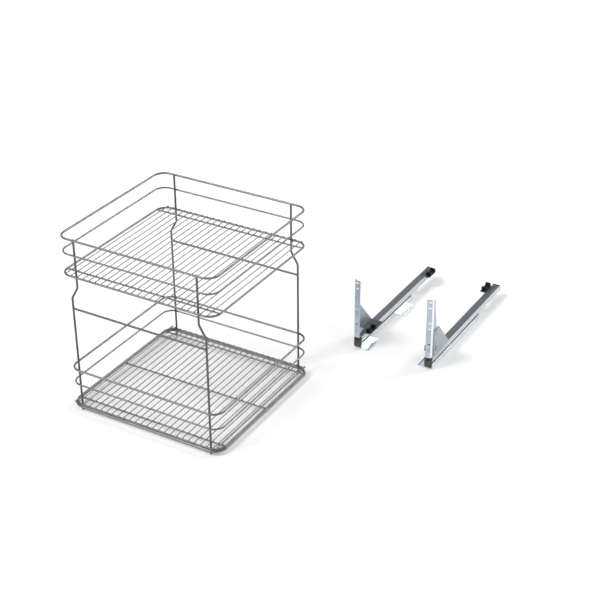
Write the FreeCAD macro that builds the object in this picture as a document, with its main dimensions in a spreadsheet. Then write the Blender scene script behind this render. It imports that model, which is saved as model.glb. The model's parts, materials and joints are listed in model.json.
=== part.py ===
import FreeCAD, Part
import math
import os
import Sketcher

# Two-tier wire pull-out basket for a base cabinet, with its pair of floor-mounted
# telescopic slides standing beside it, as they come out of the box.
# Millimetres, +Z up, +X to the user's right, +Y to the rear: the slides pull out along -Y.
# The origin is the middle of the kit's own box, on the floor.

SIZES = [
    # Wire basket: clear width inside its loops, how much less than the runners its clear depth is,
    # bend radius, wire gauges
    ("inner_width", 488),
    ("depth_allowance", 27),
    ("corner_radius", 30),
    ("rim_wire", 6),
    ("rail_wire", 5),
    ("floor_ring_wire", 6),
    ("base_ring_wire", 8),
    ("frame_wire", 5),
    ("leg_wire", 6),
    ("cross_wire", 5),
    ("floor_wire", 3),
    ("weld_sink", 0.15),
    # Heights of the basket's loops, to the middle of the wire
    ("base_ring_level", 14),
    ("lower_rail_level", 85),
    ("lower_rim_level", 133),
    ("upper_floor_level", 434),
    ("upper_rail_rise", 65),
    ("top_rim_rise", 46),
    ("kink_drop", 35),
    ("kink_height", 36),
    ("tie_drop", 33),
    # Legs stand further apart below their kink than above it
    ("leg_low_inset", 27),
    ("leg_high_inset", 48),
    ("leg_bend_radius", 12),
    ("floor_edge_gap", 17),
    ("floor_wire_count", 24),
    ("cross_wire_inset", 27.5),
    ("side_bar_inset", 8),
    # Slides: members, gaps and plates
    ("slide_width", 24),
    ("rail_metal", 1.5),
    ("plate_metal", 2),
    ("rail_height", 17),
    ("member_gap", 6.5),
    ("runner_height", 18.5),
    ("lip_width", 2),
    ("roll_radius", 1.5),
    ("member_front", 6),
    ("rail_length", 347),
    ("rail_hole", 3),
    ("rail_hole_set_back", 44),
    ("rail_hole_pitch", 204),
    ("middle_length", 376),
    ("middle_set_back", 2),
    ("strip_end_gap", 8),
    ("runner_length", 500),
    ("head_width", 9.5),
    ("neck_width", 4),
    ("head_clearance", 2.5),
    ("running_gap", 0.4),
    ("roller_gap", 0.3),
    ("lower_cage_front", 120),
    ("lower_cage_length", 130),
    ("upper_cage_front", 160),
    ("upper_cage_length", 200),
    ("rollers_per_row", 4),
    ("tip_length", 12),
    # Plates that screw to the cabinet floor
    ("base_slot_edge", 2.75),
    ("base_plate_length", 76),
    ("rear_plate_set_back", 28),
    ("base_lip_height", 3),
    ("base_slot_length", 6.5),
    ("base_slot_width", 4.5),
    ("base_slot_margin", 8),
    ("base_slot_pitch", 10),
    ("base_column_pitch", 9.5),
    ("base_column_offset", 8.5),
    # Door strip, its bracket and adjuster
    ("strip_width", 21),
    ("strip_offset", 0.5),
    ("strip_front", 4.5),
    ("strip_bottom", 43.5),
    ("strip_end_margin", 8),
    ("strip_flange_top", 12),
    ("flange_screw_edge", 5.5),
    ("flange_taper_rise", 2),
    ("strip_slot_length", 10),
    ("strip_slot_width", 5),
    ("first_slot_level", 71),
    ("slot_pair_gap", 19),
    ("slot_pair_pitch", 70.5),
    ("bracket_front", 6),
    ("bracket_length", 108),
    ("bracket_screw_edge", 13),
    ("bracket_top_length", 31),
    ("ear_reach", 17),
    ("ear_set_back", 22),
    ("ear_radius", 5),
    ("screw_size", 5),
    ("screw_head", 9),
    ("screw_head_height", 2.5),
    ("screw_hole_gap", 0.4),
    ("upper_screw_level", 123),
    ("middle_screw_level", 85),
    ("lower_screw_drop", 4),
    ("screw_set_back", 20),
    ("upper_slot_travel", 12),
    ("lower_slot_travel", 6),
    ("adjuster_tab_level", 62),
    ("adjuster_set_back", 12),
    ("adjuster_wheel", 13),
    ("adjuster_wheel_height", 6),
    # Moulded pieces of the runner
    ("fork_bottom", 9.5),
    ("fork_top", 42),
    ("fork_front", 1),
    ("fork_plug_length", 16),
    ("fork_prong", 7.5),
    ("fork_notch", 15),
    ("clip_width", 16),
    ("clip_length", 36),
    ("clip_height", 12),
    ("clip_base", 4),
    ("clip_tooth", 6),
    ("clip_radius", 2.5),
    ("peg_size", 5),
    ("peg_gap", 0.1),
    ("seat_lead", 12),
    ("seat_margin", 5),
    ("end_cap_length", 3),
    ("end_cap_rise", 1),
    ("end_cap_wall", 1.2),
    ("end_cap_sleeve", 9),
    # Where things stand
    ("basket_front_gap", 15.5),
    ("basket_side_gap", 40),
    ("slide_spread", 260),
    ("slide_set_back", 440),
]

doc = FreeCAD.newDocument("PullOutBasket")
sheet = doc.addObject("Spreadsheet::Sheet", "Sizes")


class Formula:
    """A size worked out from the sheet: its number now, and the text that binds a property to it."""

    def __init__(self, number, text):
        self.number = float(number)
        self.text = text

    def combined(self, other, sign, number):
        return Formula(number, "(" + self.text + " " + sign + " " + other.text + ")")

    def __add__(self, other):
        other = formula(other)
        return self.combined(other, "+", self.number + other.number)

    def __radd__(self, other):
        return formula(other) + self

    def __sub__(self, other):
        other = formula(other)
        return self.combined(other, "-", self.number - other.number)

    def __rsub__(self, other):
        return formula(other) - self

    def __mul__(self, other):
        other = formula(other)
        return self.combined(other, "*", self.number * other.number)

    def __rmul__(self, other):
        return formula(other) * self

    def __truediv__(self, other):
        other = formula(other)
        return self.combined(other, "/", self.number / other.number)

    def __neg__(self):
        return -1 * self


def formula(value):
    """A plain number as a Formula; a Formula comes back as it is."""
    if isinstance(value, Formula):
        return value
    return Formula(value, repr(float(value)))


def fill_sheet():
    """Write every driving size into the sheet and return the sizes as Formulas by name."""
    named = {}
    for row, (name, number) in enumerate(SIZES, start=1):
        sheet.set("A%d" % row, name)
        sheet.set("B%d" % row, str(number))
        sheet.setAlias("B%d" % row, name)
        named[name] = Formula(number, "Sizes." + name)
    doc.recompute()
    return named


size = fill_sheet()


# Heights and half widths that several pieces share

half_width = size["inner_width"] / 2
half_depth = (size["runner_length"] - size["depth_allowance"]) / 2
leg_offset = half_depth - size["leg_wire"] / 2 + size["weld_sink"]
leg_low = half_width - size["leg_low_inset"]
leg_high = half_width - size["leg_high_inset"]
frame_level = (size["base_ring_level"] + size["base_ring_wire"] / 2
               + size["frame_wire"] / 2 - size["weld_sink"])
upper_rail_level = size["upper_floor_level"] + size["upper_rail_rise"]
top_rim_level = upper_rail_level + size["top_rim_rise"]
kink_high_level = size["upper_floor_level"] - size["kink_drop"]
kink_low_level = kink_high_level - size["kink_height"]
tie_level = kink_low_level - size["tie_drop"]
base_ring_half_width = half_width + size["base_ring_wire"]
base_ring_half_depth = half_depth + size["base_ring_wire"]

half_slide = size["slide_width"] / 2
channel_half = half_slide - size["rail_metal"]
lip_edge = channel_half - size["lip_width"]
rail_bottom = size["plate_metal"]
rail_top = rail_bottom + size["rail_height"]
runner_bottom = rail_top + size["member_gap"]
runner_top = runner_bottom + size["runner_height"]
half_head = size["head_width"] / 2
half_neck = size["neck_width"] / 2
low_head_bottom = rail_bottom + size["rail_metal"] + size["head_clearance"]
low_head_top = rail_top - size["rail_metal"] - size["head_clearance"]
high_head_bottom = runner_bottom + size["rail_metal"] + size["head_clearance"]
high_head_top = runner_top - size["rail_metal"] - size["head_clearance"]
race_middle = (half_head + channel_half) / 2
roller_size = channel_half - half_head - 2 * size["roller_gap"]
cage_metal = size["head_clearance"] - size["running_gap"] - 2 * size["roller_gap"]
foot_top = runner_top + size["plate_metal"]
strip_outer = half_slide + size["strip_offset"]
bracket_outer = strip_outer + size["plate_metal"]
strip_low = rail_top + size["running_gap"] + size["roller_gap"]
strip_high = runner_bottom - size["running_gap"] - size["roller_gap"]
strip_reach = half_slide - 2 * size["running_gap"]
clip_middle = half_slide + size["clip_width"] / 2
rail_rear = size["member_front"] + size["rail_length"]
strip_rear = rail_rear - size["strip_end_gap"]
middle_front = size["member_front"] + size["fork_plug_length"] + size["middle_set_back"]
middle_rear = middle_front + size["middle_length"]
outer_column = size["base_column_offset"] + size["base_column_pitch"]
base_reach = outer_column + size["base_slot_length"] / 2 + size["base_slot_edge"]
strip_top = (size["first_slot_level"] + 2 * size["slot_pair_pitch"] + size["slot_pair_gap"]
             + size["strip_end_margin"])
flange_low_depth = size["strip_front"] + size["screw_set_back"] + size["flange_screw_edge"]
flange_taper_level = size["upper_screw_level"] + size["flange_taper_rise"]
bracket_top = size["upper_screw_level"] + size["bracket_screw_edge"]
lower_screw_level = size["adjuster_tab_level"] - size["lower_screw_drop"]
runner_rear = size["member_front"] + size["runner_length"]

# The kit's box runs from the basket's base ring to the right slide and the runners' rear ends,
# measured from the basket's middle
slides_middle = base_ring_half_width + size["basket_side_gap"] + size["slide_spread"] / 2
kit_right = (slides_middle + size["slide_spread"] / 2 + bracket_outer - half_slide
             + size["screw_head_height"])
kit_rear = size["slide_set_back"] + runner_rear + size["end_cap_length"]
basket_x = (base_ring_half_width - kit_right) / 2
basket_y = (base_ring_half_depth - kit_rear) / 2
slide_y = basket_y + size["slide_set_back"]

# In use the basket's front and rear cross wires lie in the clips' grooves
cross_offset = half_depth - size["cross_wire_inset"]
front_clip_middle = size["basket_front_gap"] + base_ring_half_depth - cross_offset
rear_clip_middle = front_clip_middle + 2 * cross_offset


def slide_x(side):
    """Middle plane of the left (-1) or right (+1) slide."""
    return basket_x + slides_middle + side * (size["slide_spread"] / 2 - half_slide)


# Small helpers that bind objects to the sheet

def bind(item, prop, value):
    """Drive one property of an object by a Formula."""
    item.setExpression(prop, formula(value).text)


def place(item, x, y, z):
    """Move an object to a place worked out from the sheet."""
    bind(item, "Placement.Base.x", x)
    bind(item, "Placement.Base.y", y)
    bind(item, "Placement.Base.z", z)


def new_body(label, x, y, z):
    body = doc.addObject("PartDesign::Body", label)
    body.Label = label
    place(body, x, y, z)
    return body


def new_sketch(body, plane, offset=0.0):
    """A sketch on one of the body's own origin planes, moved along that plane's normal."""
    sketch = body.newObject("Sketcher::SketchObject", body.Name + "Sketch")
    support = [item for item in body.Origin.OriginFeatures if item.Role == plane][0]
    sketch.AttachmentSupport = [(support, "")]
    sketch.MapMode = "FlatFace"
    bind(sketch, "AttachmentOffset.Base.z", offset)
    return sketch


def pin_point(sketch, piece, end, x, y):
    """Hold one point of a sketch at a place measured from the sketch's origin."""
    for kind, value, axis in (("DistanceX", formula(x), -2), ("DistanceY", formula(y), -1)):
        if value.text == "0.0":
            sketch.addConstraint(Sketcher.Constraint("PointOnObject", piece, end, axis))
        else:
            index = sketch.addConstraint(
                Sketcher.Constraint(kind, -1, 1, piece, end, value.number))
            sketch.setExpression("Constraints[%d]" % index, value.text)


def vector(x, y):
    return FreeCAD.Vector(formula(x).number, formula(y).number, 0)


def add_chain(sketch, corners, closed):
    """Straight lines through the corners, with an arc at each corner that names a radius.

    Construction lines hold the sharp corners; the drawn lines lie on them and the arcs touch both.
    """
    points = [vector(corner[0], corner[1]) for corner in corners]
    count = len(points)
    spans = count if closed else count - 1
    guides = []
    for i in range(spans):
        guides.append(sketch.addGeometry(Part.LineSegment(points[i], points[(i + 1) % count]), True))
    for i in range(1, spans):
        sketch.addConstraint(Sketcher.Constraint("Coincident", guides[i - 1], 2, guides[i], 1))
    if closed:
        sketch.addConstraint(Sketcher.Constraint("Coincident", guides[-1], 2, guides[0], 1))
    for i, guide in enumerate(guides):
        pin_point(sketch, guide, 1, corners[i][0], corners[i][1])
    if not closed:
        pin_point(sketch, guides[-1], 2, corners[-1][0], corners[-1][1])

    bends = [bend_points(points, corners, i, closed) for i in range(count)]
    lines = []
    for i in range(spans):
        following = (i + 1) % count
        start = bends[i][2] if bends[i] else points[i]
        stop = bends[following][0] if bends[following] else points[following]
        line = sketch.addGeometry(Part.LineSegment(start, stop), False)
        lines.append(line)
        start_kind = "PointOnObject" if bends[i] else "Coincident"
        stop_kind = "PointOnObject" if bends[following] else "Coincident"
        hold_end(sketch, start_kind, line, 1, guides[i])
        hold_end(sketch, stop_kind, line, 2, guides[i])
    for i in range(count):
        if bends[i]:
            join_with_arc(sketch, lines[i - 1], lines[i], bends[i], formula(corners[i][2]))


def hold_end(sketch, kind, line, end, guide):
    if kind == "Coincident":
        sketch.addConstraint(Sketcher.Constraint(kind, line, end, guide, end))
    else:
        sketch.addConstraint(Sketcher.Constraint(kind, line, end, guide))


def bend_points(points, corners, i, closed):
    """Where the arc of one corner starts and stops, and its middle; None where there is no arc."""
    if len(corners[i]) < 3 or (not closed and i in (0, len(points) - 1)):
        return None
    radius = formula(corners[i][2]).number
    here = points[i]
    incoming = (here - points[i - 1]).normalize()
    outgoing = (points[(i + 1) % len(points)] - here).normalize()
    half_turn = incoming.getAngle(outgoing) / 2
    cut = radius * math.tan(half_turn)
    inward = (outgoing - incoming).normalize()
    return here - incoming * cut, here + inward * (radius / math.cos(half_turn)), here + outgoing * cut


def join_with_arc(sketch, before, after, bend, radius):
    """Round the corner between two lines; arcs always run anticlockwise from start to end."""
    start, middle, stop = bend
    first = start - middle
    last = stop - middle
    near, far = 1, 2
    if first.cross(last).z < 0:
        first, last = last, first
        near, far = 2, 1
    from_angle = math.atan2(first.y, first.x)
    to_angle = math.atan2(last.y, last.x)
    if to_angle < from_angle:
        to_angle += 2 * math.pi
    circle = Part.Circle(middle, FreeCAD.Vector(0, 0, 1), radius.number)
    arc = sketch.addGeometry(Part.ArcOfCircle(circle, from_angle, to_angle), False)
    sketch.addConstraint(Sketcher.Constraint("Tangent", before, 2, arc, near))
    sketch.addConstraint(Sketcher.Constraint("Tangent", after, 1, arc, far))
    held = sketch.addConstraint(Sketcher.Constraint("Radius", arc, radius.number))
    sketch.setExpression("Constraints[%d]" % held, radius.text)


def add_outline(sketch, corners):
    """A closed outline; a corner may name the radius that rounds it."""
    add_chain(sketch, corners, True)


def add_circle(sketch, x, y, radius):
    index = sketch.addGeometry(
        Part.Circle(vector(x, y), FreeCAD.Vector(0, 0, 1), formula(radius).number), False)
    pin_point(sketch, index, 3, x, y)
    held = sketch.addConstraint(
        Sketcher.Constraint("Radius", index, formula(radius).number))
    sketch.setExpression("Constraints[%d]" % held, formula(radius).text)


def add_slot(sketch, x, y, length, width, upright=False):
    """A slot with round ends, lying along the sketch's X, or along its Y when upright."""
    reach = (length - width) / 2
    radius = width / 2
    if upright:
        ends = ((x, y - reach), (x, y + reach))
        turns = ((180, 360), (0, 180))
    else:
        ends = ((x - reach, y), (x + reach, y))
        turns = ((90, 270), (-90, 90))
    arcs = []
    for (centre_x, centre_y), (start, stop) in zip(ends, turns):
        circle = Part.Circle(vector(centre_x, centre_y), FreeCAD.Vector(0, 0, 1), radius.number)
        arc = Part.ArcOfCircle(circle, math.radians(start), math.radians(stop))
        arcs.append(sketch.addGeometry(arc, False))
    lines = []
    for a, b in ((1, 0), (0, 1)):
        start = sketch.Geometry[arcs[a]].EndPoint
        stop = sketch.Geometry[arcs[b]].StartPoint
        line = sketch.addGeometry(Part.LineSegment(start, stop), False)
        sketch.addConstraint(Sketcher.Constraint("Tangent", arcs[a], 2, line, 1))
        sketch.addConstraint(Sketcher.Constraint("Tangent", line, 2, arcs[b], 1))
        lines.append(line)
    for arc, (centre_x, centre_y) in zip(arcs, ends):
        pin_point(sketch, arc, 3, centre_x, centre_y)
    held = sketch.addConstraint(Sketcher.Constraint("Radius", arcs[0], radius.number))
    sketch.setExpression("Constraints[%d]" % held, radius.text)


PLANES = {"along_x": ("YZ_Plane", 1), "along_y": ("XZ_Plane", -1), "along_z": ("XY_Plane", 1)}


def slab(body, direction, start, stop, draw):
    """Pad what draw() sketches from one coordinate to another along X, Y or Z."""
    plane, sign = PLANES[direction]
    sketch = new_sketch(body, plane, sign * (formula(start) + formula(stop)) / 2)
    draw(sketch)
    pad = body.newObject("PartDesign::Pad", body.Name + "Pad")
    pad.Profile = sketch
    pad.Midplane = True
    bind(pad, "Length", formula(stop) - formula(start))
    return pad


def cut_through(body, direction, start, stop, draw):
    """Cut what draw() sketches out of the body, from one coordinate to another."""
    plane, sign = PLANES[direction]
    sketch = new_sketch(body, plane, sign * (formula(start) + formula(stop)) / 2)
    draw(sketch)
    pocket = body.newObject("PartDesign::Pocket", body.Name + "Pocket")
    pocket.Profile = sketch
    pocket.Midplane = True
    bind(pocket, "Length", formula(stop) - formula(start))
    return pocket


def rectangle(sketch, left, bottom, right, top):
    add_outline(sketch, [(left, bottom), (right, bottom), (right, top), (left, top)])


def rod(x, y, z, axis, diameter, length):
    """A straight round bar that starts at a point and runs along +X, +Y or +Z."""
    bar = doc.addObject("Part::Cylinder", "Rod")
    turns = {
        "x": FreeCAD.Rotation(FreeCAD.Vector(0, 1, 0), 90),
        "y": FreeCAD.Rotation(FreeCAD.Vector(1, 0, 0), -90),
        "z": FreeCAD.Rotation(),
    }
    bar.Placement = FreeCAD.Placement(FreeCAD.Vector(), turns[axis])
    bind(bar, "Radius", formula(diameter) / 2)
    bind(bar, "Height", length)
    place(bar, x, y, z)
    return bar


def joined(label, items):
    """Several forms fused into one solid."""
    piece = doc.addObject("Part::MultiFuse", label)
    piece.Label = label
    piece.Shapes = items
    return piece


def round_edge(body, radius, x, y, z):
    """Round the straight edges that lie at two given coordinates of the body's own space."""
    doc.recompute()
    base = body.Tip
    wanted = [None if value is None else formula(value).number for value in (x, y, z)]
    names = []
    for index, edge in enumerate(base.Shape.Edges, start=1):
        ends = [vertex.Point for vertex in edge.Vertexes]
        if len(ends) == 2 and all(on_line(point, wanted) for point in ends):
            names.append("Edge%d" % index)
    fillet = body.newObject("PartDesign::Fillet", body.Name + "Fillet")
    fillet.Base = (base, names)
    bind(fillet, "Radius", radius)
    return fillet


def on_line(point, wanted):
    """Whether a point has the coordinates that aren't None."""
    return all(value is None or abs(part - value) < 1e-6 for part, value in zip(point, wanted))


def group(label, items):
    """Separate solids that share one node."""
    node = doc.addObject("Part::Compound", label)
    node.Label = label
    node.Links = items
    return node


def bend_wire(body, profile, spine):
    pipe = body.newObject("PartDesign::AdditivePipe", body.Name + "Pipe")
    pipe.Profile = profile
    pipe.Spine = (spine, [])
    return pipe


def wire_loop(label, wire, level):
    """A closed loop of wire with rounded corners, whose inner face clears the basket's inside."""
    body = new_body(label, basket_x, basket_y, level)
    across = half_width + wire / 2
    along = half_depth + wire / 2
    bend = size["corner_radius"] + wire / 2
    corners = [
        (across, 0), (across, along, bend), (-across, along, bend), (-across, -along, bend),
        (across, -along, bend),
    ]
    spine = new_sketch(body, "XY_Plane")
    add_chain(spine, corners, True)
    profile = new_sketch(body, "XZ_Plane")
    add_circle(profile, across, 0, wire / 2)
    bend_wire(body, profile, spine)
    return body


def leg(label, side, end):
    """One leg: upright, a kink that brings it in towards the middle, and upright again to the rim."""
    body = new_body(label, basket_x, basket_y + end * leg_offset, 0)
    bend = size["leg_bend_radius"]
    corners = [
        (side * leg_low, 0), (side * leg_low, kink_low_level, bend),
        (side * leg_high, kink_high_level, bend), (side * leg_high, top_rim_level),
    ]
    spine = new_sketch(body, "XZ_Plane")
    add_chain(spine, corners, False)
    profile = new_sketch(body, "XY_Plane")
    add_circle(profile, side * leg_low, 0, size["leg_wire"] / 2)
    bend_wire(body, profile, spine)
    return body


def tie_bar(label, end):
    """The bar welded between two legs just below their kinks."""
    reach = leg_low - size["leg_wire"] / 2 + size["weld_sink"]
    bar = rod(basket_x - reach, basket_y + end * leg_offset, tie_level,
              "x", size["leg_wire"], 2 * reach)
    bar.Label = label
    return bar


def cross_wires(label, loop_level, loop_wire, offsets):
    """Wires under a tier's floor, welded between the two sides of its loop, tops level with it."""
    reach = half_width + size["weld_sink"]
    level = loop_level + (loop_wire - size["cross_wire"]) / 2
    wires = []
    for offset in offsets:
        wires.append(rod(basket_x - reach, basket_y + offset, level, "x", size["cross_wire"], 2 * reach))
    return group(label, wires)


def floor_wires(label, loop_level, loop_wire):
    """The thin wires of a tier's floor, laid from front to back on the loop and the cross wires."""
    count = int(size["floor_wire_count"].number)
    first = half_width - size["floor_edge_gap"]
    pitch = 2 * first / (count - 1)
    level = loop_level + loop_wire / 2 + size["floor_wire"] / 2 - size["weld_sink"]
    reach = half_depth + loop_wire / 2
    wires = []
    for i in range(count):
        wires.append(rod(basket_x - first + i * pitch, basket_y - reach, level,
                         "y", size["floor_wire"], 2 * reach))
    return group(label, wires)


def side_bars(label, loop_level, loop_wire):
    """The two heavier bars beside the floor wires, which ride on the slides' runners."""
    level = loop_level + loop_wire / 2 + size["cross_wire"] / 2 - size["weld_sink"]
    reach = half_depth + loop_wire / 2
    across = half_width - size["side_bar_inset"]
    bars = []
    for side in (-1, 1):
        bars.append(rod(basket_x + side * across, basket_y - reach, level,
                        "y", size["cross_wire"], 2 * reach))
    return group(label, bars)


def build_basket():
    """Two tiers of wire on four kinked legs."""
    nodes = [
        wire_loop("top_rim", size["rim_wire"], top_rim_level),
        wire_loop("upper_rail", size["rail_wire"], upper_rail_level),
        wire_loop("upper_floor_ring", size["floor_ring_wire"], size["upper_floor_level"]),
        wire_loop("lower_rim", size["rim_wire"], size["lower_rim_level"]),
        wire_loop("lower_rail", size["rail_wire"], size["lower_rail_level"]),
        wire_loop("base_ring", size["base_ring_wire"], size["base_ring_level"]),
        wire_loop("base_frame_loop", size["frame_wire"], frame_level),
        floor_wires("upper_floor_wires", size["upper_floor_level"], size["floor_ring_wire"]),
        cross_wires("upper_cross_wires", size["upper_floor_level"], size["floor_ring_wire"],
                    (-cross_offset, cross_offset)),
        floor_wires("lower_floor_wires", frame_level, size["frame_wire"]),
        cross_wires("lower_cross_wires", frame_level, size["frame_wire"],
                    (-cross_offset, formula(0), cross_offset)),
        side_bars("lower_side_bars", frame_level, size["frame_wire"]),
        tie_bar("front_tie_bar", -1),
        tie_bar("rear_tie_bar", 1),
    ]
    for end_name, end in (("front", -1), ("rear", 1)):
        for side_name, side in (("left", -1), ("right", 1)):
            nodes.append(leg("leg_" + end_name + "_" + side_name, side, end))
    return nodes


# Slides: every piece of one slide is drawn about its middle plane, with its outer side
# towards -X on the left slide and +X on the right one

def mirrored(side, corners):
    """The corners of the right slide's piece, or their mirror image for the left slide."""
    return [(side * formula(corner[0]),) + tuple(corner[1:]) for corner in corners]


def ordered(side, start, stop):
    """A range along X on the right slide, or its mirror image on the left one, low end first."""
    if side > 0:
        return formula(start), formula(stop)
    return -formula(stop), -formula(start)


def slide_body(label, side):
    return new_body(label, slide_x(side), slide_y, 0)


def channel(label, side, back, mouth, metal, front, length):
    """A rolled channel with rounded edges: its web at height back, its lipped mouth at height mouth.

    The metal is given negative for a channel that opens downwards.
    """
    body = slide_body(label, side)
    bend = size["roll_radius"]
    corners = [
        (-half_slide, back, bend), (half_slide, back, bend), (half_slide, mouth, bend / 2),
        (lip_edge, mouth), (lip_edge, mouth - metal), (channel_half, mouth - metal),
        (channel_half, back + metal), (-channel_half, back + metal), (-channel_half, mouth - metal),
        (-lip_edge, mouth - metal), (-lip_edge, mouth), (-half_slide, mouth, bend / 2),
    ]
    slab(body, "along_y", front, front + length, lambda sketch: add_outline(sketch, corners))
    return body


def cabinet_rail(name, side):
    """The fixed member, open upwards, with two locating holes through its walls."""
    body = channel("cabinet_rail" + name, side, rail_bottom, rail_top, size["rail_metal"],
                   size["member_front"], size["rail_length"])
    level = rail_bottom + size["rail_height"] / 2
    first = size["member_front"] + size["rail_hole_set_back"]

    def holes(sketch):
        add_circle(sketch, first, level, size["rail_hole"] / 2)
        add_circle(sketch, first + size["rail_hole_pitch"], level, size["rail_hole"] / 2)

    cut_through(body, "along_x", -half_slide, half_slide, holes)
    return body


def base_slots():
    """Slots of a base plate: how far out from the rail, and how far back from the plate's front."""
    inner_column = half_slide + size["base_column_offset"]
    far_column = half_slide + outer_column
    first = size["base_slot_margin"]
    last = size["base_plate_length"] - size["base_slot_margin"]
    pitch = size["base_slot_pitch"]
    return [
        (inner_column, first), (inner_column, last), (far_column, first), (far_column, last),
        (far_column, first + pitch), (far_column, last - pitch), (far_column, first + 2 * pitch),
    ]


def base_plate(label, side, front):
    """A folded plate under the cabinet rail that reaches inwards, slotted, with a turned-up edge."""
    body = slide_body(label, side)
    rear = front + size["base_plate_length"]
    inner_edge = half_slide + base_reach
    metal = size["plate_metal"]
    section = mirrored(side, [
        (half_slide, 0), (half_slide, metal), (metal - inner_edge, metal),
        (metal - inner_edge, metal + size["base_lip_height"]),
        (-inner_edge, metal + size["base_lip_height"]), (-inner_edge, 0, metal),
    ])
    slab(body, "along_y", front, rear, lambda sketch: add_outline(sketch, section))

    def slots(sketch):
        for across, back in base_slots():
            add_slot(sketch, -side * across, front + back,
                     size["base_slot_length"], size["base_slot_width"])

    cut_through(body, "along_z", 0, metal, slots)
    return body


def middle_rail(name, side):
    """The member between the two channels: an I section with a head running in each.

    Behind the glide strips it carries a flange that fills the gap between the channels.
    """
    body = slide_body("middle_rail" + name, side)
    edge = size["roll_radius"] / 2
    corners = [
        (-half_head, low_head_bottom, edge), (half_head, low_head_bottom, edge),
        (half_head, low_head_top, edge), (half_neck, low_head_top), (half_neck, high_head_bottom),
        (half_head, high_head_bottom, edge), (half_head, high_head_top, edge),
        (-half_head, high_head_top, edge), (-half_head, high_head_bottom, edge),
        (-half_neck, high_head_bottom), (-half_neck, low_head_top), (-half_head, low_head_top, edge),
    ]
    slab(body, "along_y", middle_front, middle_rear, lambda sketch: add_outline(sketch, corners))
    slab(body, "along_z", strip_low, strip_high,
         lambda sketch: rectangle(sketch, -strip_reach, strip_rear, strip_reach, middle_rear))
    return body


def glide_strip(name, side):
    """Black strips on both sides of the middle rail's neck, which fill the gap between channels."""
    strips = []
    for face in (-1, 1):
        strip = doc.addObject("Part::Box", "Strip")
        bind(strip, "Length", strip_reach - half_neck)
        bind(strip, "Width", strip_rear - middle_front)
        bind(strip, "Height", strip_high - strip_low)
        left = half_neck if face > 0 else -strip_reach
        place(strip, slide_x(side) + left, slide_y + middle_front, strip_low)
        strips.append(strip)
    return group("glide_strip" + name, strips)


def middle_tip(name, side):
    """The tapered bumper on the middle rail's rear end."""
    body = slide_body("middle_tip" + name, side)
    tip = middle_rear + size["tip_length"]
    corners = [
        (-strip_reach, middle_rear), (strip_reach, middle_rear),
        (half_head, tip, size["tip_length"] / 4),
        (-half_head, tip, size["tip_length"] / 4),
    ]
    slab(body, "along_z", strip_low, strip_high, lambda sketch: add_outline(sketch, corners))
    return body


def cage(label, side, back, plate, wall_end, front, length):
    """A moulded roller cage: a plate against the channel's web, and a wall along each race.

    Every roller stands in a window through its wall.
    """
    body = slide_body(label, side)
    outer = channel_half - size["running_gap"]
    inner = half_head + size["running_gap"]
    corners = [
        (-outer, back), (outer, back), (outer, wall_end), (inner, wall_end),
        (inner, plate), (-inner, plate), (-inner, wall_end), (-outer, wall_end),
    ]
    slab(body, "along_y", front, front + length, lambda sketch: add_outline(sketch, corners))

    def windows(sketch):
        for across in (-1, 1):
            for y in roller_places(front, length):
                add_circle(sketch, across * race_middle, y, roller_size / 2 + size["roller_gap"])

    low, high = (plate, wall_end) if plate.number < wall_end.number else (wall_end, plate)
    cut_through(body, "along_z", low, high, windows)
    return body


def roller_places(front, length):
    count = int(size["rollers_per_row"].number)
    return [front + length * (i + 0.5) / count for i in range(count)]


def rollers(label, side, low, high, front, length):
    """Steel rollers that stand on end in the cage's windows, between two heights."""
    items = []
    for across in (-1, 1):
        for y in roller_places(front, length):
            items.append(rod(slide_x(side) + across * race_middle, slide_y + y,
                             low + size["roller_gap"], "z", roller_size,
                             high - low - 2 * size["roller_gap"]))
    return group(label, items)


def build_cages(name, side):
    """Both roller cages of one slide, each with its rollers."""
    low_back = rail_bottom + size["rail_metal"] + size["running_gap"]
    low_plate = low_back + cage_metal
    high_back = runner_top - size["rail_metal"] - size["running_gap"]
    high_plate = high_back - cage_metal
    return [
        cage("lower_cage" + name, side, low_back, low_plate, low_head_top,
             size["lower_cage_front"], size["lower_cage_length"]),
        rollers("lower_rollers" + name, side, low_plate, low_head_top,
                size["lower_cage_front"], size["lower_cage_length"]),
        cage("upper_cage" + name, side, high_back, high_plate, high_head_bottom,
             size["upper_cage_front"], size["upper_cage_length"]),
        rollers("upper_rollers" + name, side, high_head_bottom, high_plate,
                size["upper_cage_front"], size["upper_cage_length"]),
    ]


def runner(name, side):
    """The moving member, open downwards, that carries the door strip and one side of the basket."""
    return channel("runner" + name, side, runner_top, runner_bottom, -size["rail_metal"],
                   size["member_front"], size["runner_length"])


def peg_hole(sketch, side, middle):
    """The round hole that a clip's peg drops into."""
    add_circle(sketch, -side * clip_middle, middle, size["peg_size"] / 2 + size["peg_gap"])


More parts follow.
